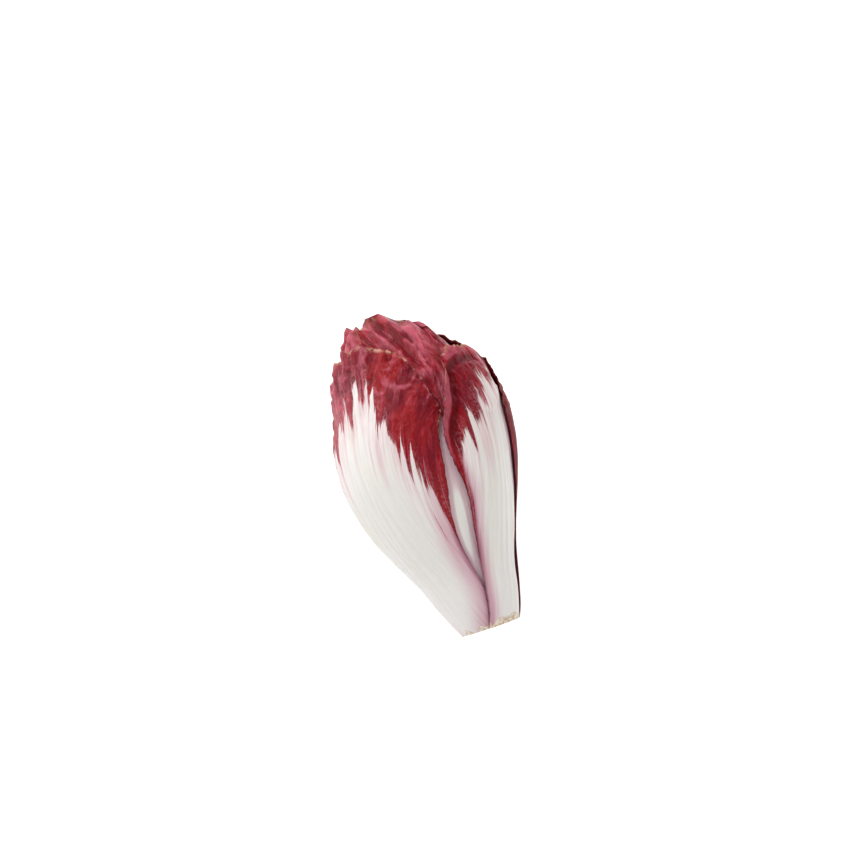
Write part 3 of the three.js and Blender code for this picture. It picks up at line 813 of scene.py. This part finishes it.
def leafFields(leaf, at, uncovered, crest):
    # what the material reads: mm above the red's start and to the margin, tip and foot, and shares
    starts = redStart.get(leaf["name"], redStart["other"])
    away = np.abs(at["u"])
    start = np.where(at["u"] < 0, through(starts["left"], away), through(starts["right"], away))
    hiddenFoot = 40 if leaf["from"] > 5 else 0    # a leaf that starts above the cut has no browned foot
    return {
        "redDepth": at["down"] - start, "edge": at["marginMm"], "tipEdge": at["tipMm"], "down": at["down"],
        "foot": at["v"] * (leaf["to"] - leaf["from"]) + hiddenFoot, "open": uncovered, "crest": crest,
    }


def bothFaces(maps, fields, wall):
    # the inner face carries the outer one's fields, and its maps are moved on by the wall between them
    moved = np.stack([wall * 0, -wall / mapUnit], -1)
    maps = {key: np.concatenate([m.reshape(-1, 2), (m + moved).reshape(-1, 2)]) for key, m in maps.items()}
    fields = {key: np.concatenate([f.ravel(), f.ravel()]) for key, f in fields.items()}
    return maps, fields


leafWall = {"underLeaf": 0.2, "thinning": 0.42, "thinPower": 6, "thinTip": (0.85, 1)}


def leafSurface(leaf, rows, columns):
    # outer face: head radius - depth under other leaves + lift and relief; the inner face is a wall below it
    at = leafGrid(leaf, rows, columns)
    u, v, length = at["u"], at["v"], leaf["to"] - leaf["from"]
    uToothed, vToothed = toothed(leaf, at)
    at["down"] = leaf["from"] + length * vToothed * cornerCut(leaf, u, v)
    at["label"] = veinLabel(at)
    at["tipMm"] = (1 - v) * length
    at["marginMm"] = np.minimum((1 - np.abs(u)) * at["widthMm"], at["tipMm"])
    azimuth, body, polar = directionOf(leaf, uToothed * halfWidth(leaf, v, u), at["down"])
    depth, uncovered = depthUnder(leaf["order"], azimuth, body, polar)
    folded, crest = foldsOf(leaf, at)
    rolled, valley = turnedMargin(leaf, at)
    seen = leafWall["underLeaf"] + (1 - leafWall["underLeaf"]) * uncovered
    relief = (ribsOf(leaf, at) + veinsOf(leaf, at) + folded) * seen
    raised = uncovered * (lift(leaf, u, v) - valley + rufflesOf(leaf, at)) + relief
    wall = thickness(leaf, u, v)
    thin = np.maximum(np.abs(u) ** leafWall["thinPower"], smooth(v, *leafWall["thinTip"]))
    top = depth + leaf["below"] - raised
    outer = headPoint(azimuth, body, polar, top + leafWall["thinning"] * thin)
    inner = headPoint(azimuth, body, polar, top + wall)
    outer[..., 2] = np.maximum(outer[..., 2], 0)    # the resting leaf is flat where it meets the table
    # painted shade in the valley behind the turned-out margin, and more of the pink on its rolled band
    crest = crest - hood["valleyShade"] * valley + hood["bandPale"] * rolled
    maps = {"veins": np.stack([at["label"], at["down"]], -1) / mapUnit,
            "flat": np.stack([at["x"], at["down"]], -1) / mapUnit}
    return outer, inner, *bothFaces(maps, leafFields(leaf, at, uncovered, crest), wall)


for leaf in wrapLeaves:
    isOuter = leaf["name"].startswith("outer")
    outer, inner, maps, fields = leafSurface(leaf, *gridShape["outer" if isOuter else "inner"])
    points, faces = closedSheet(outer, inner)
    plainName = leaf["name"].replace("_", " ")
    material = leafMaterial("leaf of " + plainName, 1.37 * leaf["order"], leafLooks.get(leaf["name"], {}))
    slot = "outer_leaf" if isOuter else "red_leaf"
    makePiece(leaf["name"] + "_blade", points, faces, maps, fields, material, leaf["name"], slot)
    print("leaf", leaf["name"], len(faces), "faces")

# heart: a core whose numbers make it plain red all over, with small leaves at the crown
heartCore = {
    "from": 36, "fullFrom": 52, "below": 1, "hollow": 7, "hollowFrom": (55, 85), "rough": 0.3,
    "rows": 110, "columns": 160, "ends": (0.002, 0.999), "crownFrom": 0.45, "mapRadius": 25, "mapArc": 50,
}
coreFields = {"redDepth": 60, "edge": 20, "tipEdge": 20, "foot": 40, "open": 1, "crest": 0}
heartSeed = 30.1


def ringGrid(rows, columns, ends):
    # share runs from one end to the other, and azimuth once round
    share = np.linspace(*ends, rows + 1)[:, None] * np.ones((1, columns))
    azimuth = np.linspace(0, 2 * math.pi, columns + 1)[None, :-1] * np.ones((rows + 1, 1))
    return share, azimuth


def fillPoints(azimuth, along, polar, below, fullness, sunk=1.0):
    # radius = fullness * (head's radius - depth under all the leaves - below); sunk under 1 reaches into them
    depth = depthUnder(len(wrapLeaves), azimuth, along, polar)[0] * sunk
    reach = np.where(polar > 0, crownReach(polar), bodyRadius(along))
    return headPoint(azimuth, along, polar, reach - fullness * (reach - depth - below))


def heartBody():
    # fullness is the root of a soft step from the rounded end on; the crown's pole is hollowed a little
    h = heartCore
    share, azimuth = ringGrid(h["rows"], h["columns"], h["ends"])
    along = h["from"] + (headShape["widestAt"] - h["from"]) * np.minimum(1, share / h["crownFrom"])
    polar = math.pi / 2 * np.maximum(0, (share - h["crownFrom"]) / (1 - h["crownFrom"]))
    fullness = np.sqrt(smooth(along, h["from"] - 1e-6, h["fullFrom"]))
    low, high = h["hollowFrom"]
    below = h["below"] + h["hollow"] * smooth(polar, math.radians(low), math.radians(high))
    below = below + h["rough"] * grain(azimuth * 6, share * 30, 5)
    points = fillPoints(azimuth, along, polar, below, fullness)
    flat = np.stack([azimuth * h["mapRadius"], along + h["mapArc"] * polar], -1) / mapUnit
    maps = {"veins": flat.reshape(-1, 2), "flat": flat.reshape(-1, 2)}
    fields = {key: np.full(along.size, value, float) for key, value in coreFields.items()}
    fields["down"] = along.ravel()
    return points.reshape(-1, 3), ringFaces(h["rows"], h["columns"]), maps, fields


def joined(parts):
    # points one part after another, with each part's faces moved on by the number of points before it
    starts = np.cumsum([0] + [len(part[0]) for part in parts[:-1]])
    points = np.concatenate([part[0] for part in parts])
    faces = np.concatenate([part[1] + start for part, start in zip(parts, starts)])
    maps = {key: np.concatenate([part[2][key] for part in parts]) for key in parts[0][2]}
    fields = {key: np.concatenate([part[3][key] for part in parts]) for key in parts[0][3]}
    return points, faces, maps, fields


heartParts = [heartBody()]
for leaf in tipLeaves:
    outer, inner, maps, fields = leafSurface(leaf, *gridShape["heart"])
    heartParts.append((*closedSheet(outer, inner), maps, fields))
heartMaterial = leafMaterial("leaf of heart", heartSeed, {})
makePiece("heart_leaves", *joined(heartParts), heartMaterial, "heart", "red_leaf",
          poleCaps(heartCore["rows"], heartCore["columns"]))
print("heart done")

# cut stem
stemShape = {
    "length": 32, "fullTo": 16, "below": 0.2, "recess": 0.3, "sunk": 0.36, "sunkTo": 5,
    "faceShare": 0.35, "dish": 0.35, "rough": 0.12, "roughPitch": 9, "mapRadius": 8.5,
    "rows": 70, "columns": 140, "ends": (0.004, 0.998),
}
stemLook = {
    "pith": (0.74, 0.66, 0.52), "stain": (0.60, 0.45, 0.28),
    "vessels": (0.40, 0.26, 0.13), "dryRim": (0.36, 0.20, 0.10),
    "subsurface": 0.15, "scale": 0.002, "bump": 0.7, "bumpHeight": 0.0006,
}


def stemMaterial():
    # cream pith, a darker ring of vessels and a browned, drying rim
    material, tree = freshTree("cut stem")
    look = stemLook
    face = mapOf(tree, "flat")
    away = field(tree, "rim")
    fibres = patch(tree, face, (160, 160), 3.0, 0.65, 2.0)
    stains = patch(tree, face, (28, 28), 3.0, 0.6, 5.0)
    ring = times(tree, soft(tree, away, 0.34, 0.46), soft(tree, away, 0.64, 0.52))
    colour = layered(tree, look["pith"], [
        (soft(tree, stains, 0.38, 0.68), look["stain"]),
        (times(tree, ring, soft(tree, fibres, 0.42, 0.62)), look["vessels"]),
        (soft(tree, away, 0.86, 1.02), look["dryRim"]),
    ])
    inputs = {"Height": plus(tree, fibres, stains), "Strength": look["bump"], "Distance": look["bumpHeight"]}
    bump = addNode(tree, "Bump", inputs).outputs[0]
    roughness = soft(tree, stains, 0.3, 0.7, 0.45, 0.7)
    shader = addNode(tree, "BsdfPrincipled", {"Base Color": colour, "Roughness": roughness, "Normal": bump})
    shader.inputs["Subsurface Weight"].default_value = look["subsurface"]
    shader.inputs["Subsurface Scale"].default_value = look["scale"]
    addNode(tree, "OutputMaterial", {"Surface": shader.outputs[0]})
    return material


def stemSurface():
    # first the cut face, its radius growing from middle to rim, then the side up to a rounded end in the head
    s = stemShape
    share, azimuth = ringGrid(s["rows"], s["columns"], s["ends"])
    onFace = np.minimum(1, share / s["faceShare"])
    along = s["length"] * np.maximum(0, share - s["faceShare"]) / (1 - s["faceShare"])
    rounded = np.sqrt(np.maximum(0, 1 - smooth(along, s["fullTo"], s["length"])))
    # at the cut it fills the gaps between the leaves' feet, and a few mm in it is inside them all
    sunk = s["sunk"] + (1 - s["sunk"]) * smooth(along, 0, s["sunkTo"])
    points = fillPoints(azimuth, along + 1e-6, along * 0, s["below"], onFace * rounded, sunk)
    # dish * (1 - radius share ^ 2) + soft hills, on the cut face only
    out = onFace * s["roughPitch"]
    hills = s["rough"] * grain(out * np.cos(azimuth) + 20, out * np.sin(azimuth) + 20, 3)
    dish = (s["dish"] * (1 - onFace ** 2) + hills) * (share < s["faceShare"])
    points[..., 1] += s["recess"] + np.maximum(dish, 0)
    radius = onFace * s["mapRadius"]
    face = np.stack([radius * np.cos(azimuth), radius * np.sin(azimuth) + along], -1) / mapUnit
    return points.reshape(-1, 3), face.reshape(-1, 2), onFace.ravel()


stemPoints, stemMap, stemRim = stemSurface()
makePiece("stem_stub", stemPoints, ringFaces(stemShape["rows"], stemShape["columns"]), {"flat": stemMap},
          {"rim": stemRim}, stemMaterial(), "stem", "cut_stem",
          poleCaps(stemShape["rows"], stemShape["columns"]))
print("stem done")

# floor
floorLook = {"size": 24.0, "colour": (0.93, 0.93, 0.93, 1), "roughness": 0.9, "specular": 0.1, "glow": 0.4}


def makeFloor():
    # one square, glowing a little so that it stays as pale as the background
    half = floorLook["size"] / 2
    mesh = bpy.data.meshes.new("floor")
    corners = [(-half, -half, 0), (half, -half, 0), (half, half, 0), (-half, half, 0)]
    mesh.from_pydata(corners, [], [(0, 1, 2, 3)])
    material = bpy.data.materials.new("pale floor")
    material.use_nodes = True
    shader = material.node_tree.nodes["Principled BSDF"]
    shader.inputs["Base Color"].default_value = floorLook["colour"]
    shader.inputs["Roughness"].default_value = floorLook["roughness"]
    shader.inputs["Specular IOR Level"].default_value = floorLook["specular"]
    shader.inputs["Emission Color"].default_value = (1, 1, 1, 1)
    shader.inputs["Emission Strength"].default_value = floorLook["glow"]
    mesh.materials.append(material)
    floor = bpy.data.objects.new("floor", mesh)
    bpy.context.scene.collection.objects.link(floor)


# camera: where it stands round the head in degrees, and the photo's pixel where the middle of the cut falls
camera = {"azimuth": -19, "elevation": 76.5, "distance": 0.70, "metresPerPixel": 0.0004586,
          "cutPixel": (491.5, 627), "size": 850, "sensor": 36}


def placeCamera():
    # the cut's middle - its offset in the picture, right and up + distance towards the camera
    a, e = math.radians(camera["azimuth"]), math.radians(camera["elevation"])
    towards = Vector((math.sin(a) * math.cos(e), -math.cos(a) * math.cos(e), math.sin(e)))
    rightWay = Vector((math.cos(a), math.sin(a), 0))
    upWay = towards.cross(rightWay)
    offRight = (camera["cutPixel"][0] - camera["size"] / 2) * camera["metresPerPixel"]
    offUp = (camera["size"] / 2 - camera["cutPixel"][1]) * camera["metresPerPixel"]
    data = bpy.data.cameras.new("camera")
    data.sensor_width = camera["sensor"]
    data.lens = camera["distance"] / camera["metresPerPixel"] * camera["sensor"] / camera["size"]
    placed = bpy.data.objects.new("camera", data)
    cutMiddle = Vector(headShape["place"]) / 1000
    placed.location = cutMiddle - rightWay * offRight - upWay * offUp + towards * camera["distance"]
    placed.rotation_euler = towards.to_track_quat("Z", "Y").to_euler()
    bpy.context.scene.collection.objects.link(placed)
    bpy.context.scene.camera = placed


# light
lights = [
    {"name": "key", "at": (-0.7, 0.65, 0.95), "size": 0.5, "power": 11.5},
    {"name": "right", "at": (0.95, -0.1, 0.75), "size": 1.2, "power": 6.5},
    {"name": "front", "at": (-0.1, -0.95, 0.8), "size": 1.2, "power": 4.8},
    {"name": "crown side", "at": (-0.12, 1.1, 0.5), "size": 0.55, "power": 5},
]
lightTarget = (0, 0, 0.04)
worldLook = {"lighting": 0.24, "seen": 0.95}


def makeLamps():
    for lamp in lights:
        data = bpy.data.lights.new(lamp["name"], "AREA")
        data.size = lamp["size"]
        data.energy = lamp["power"]
        placed = bpy.data.objects.new(lamp["name"], data)
        placed.location = lamp["at"]
        placed.rotation_euler = (Vector(lamp["at"]) - Vector(lightTarget)).to_track_quat("Z", "Y").to_euler()
        bpy.context.scene.collection.objects.link(placed)


def makeWorld():
    # the world looks nearly white to the camera and lights the head less than that
    world = bpy.data.worlds.new("studio")
    world.use_nodes = True
    tree = world.node_tree
    background = tree.nodes["Background"]
    background.inputs[0].default_value = (1, 1, 1, 1)
    seenDirectly = addNode(tree, "LightPath").outputs["Is Camera Ray"]
    strength = soft(tree, seenDirectly, 0.0, 1.0, worldLook["lighting"], worldLook["seen"])
    tree.links.new(strength, background.inputs[1])
    bpy.context.scene.world = world
    bpy.context.scene.view_settings.view_transform = "Standard"
    bpy.context.scene.view_settings.look = "None"


makeFloor()
placeCamera()
makeLamps()
makeWorld()
print("stage, camera and light done")
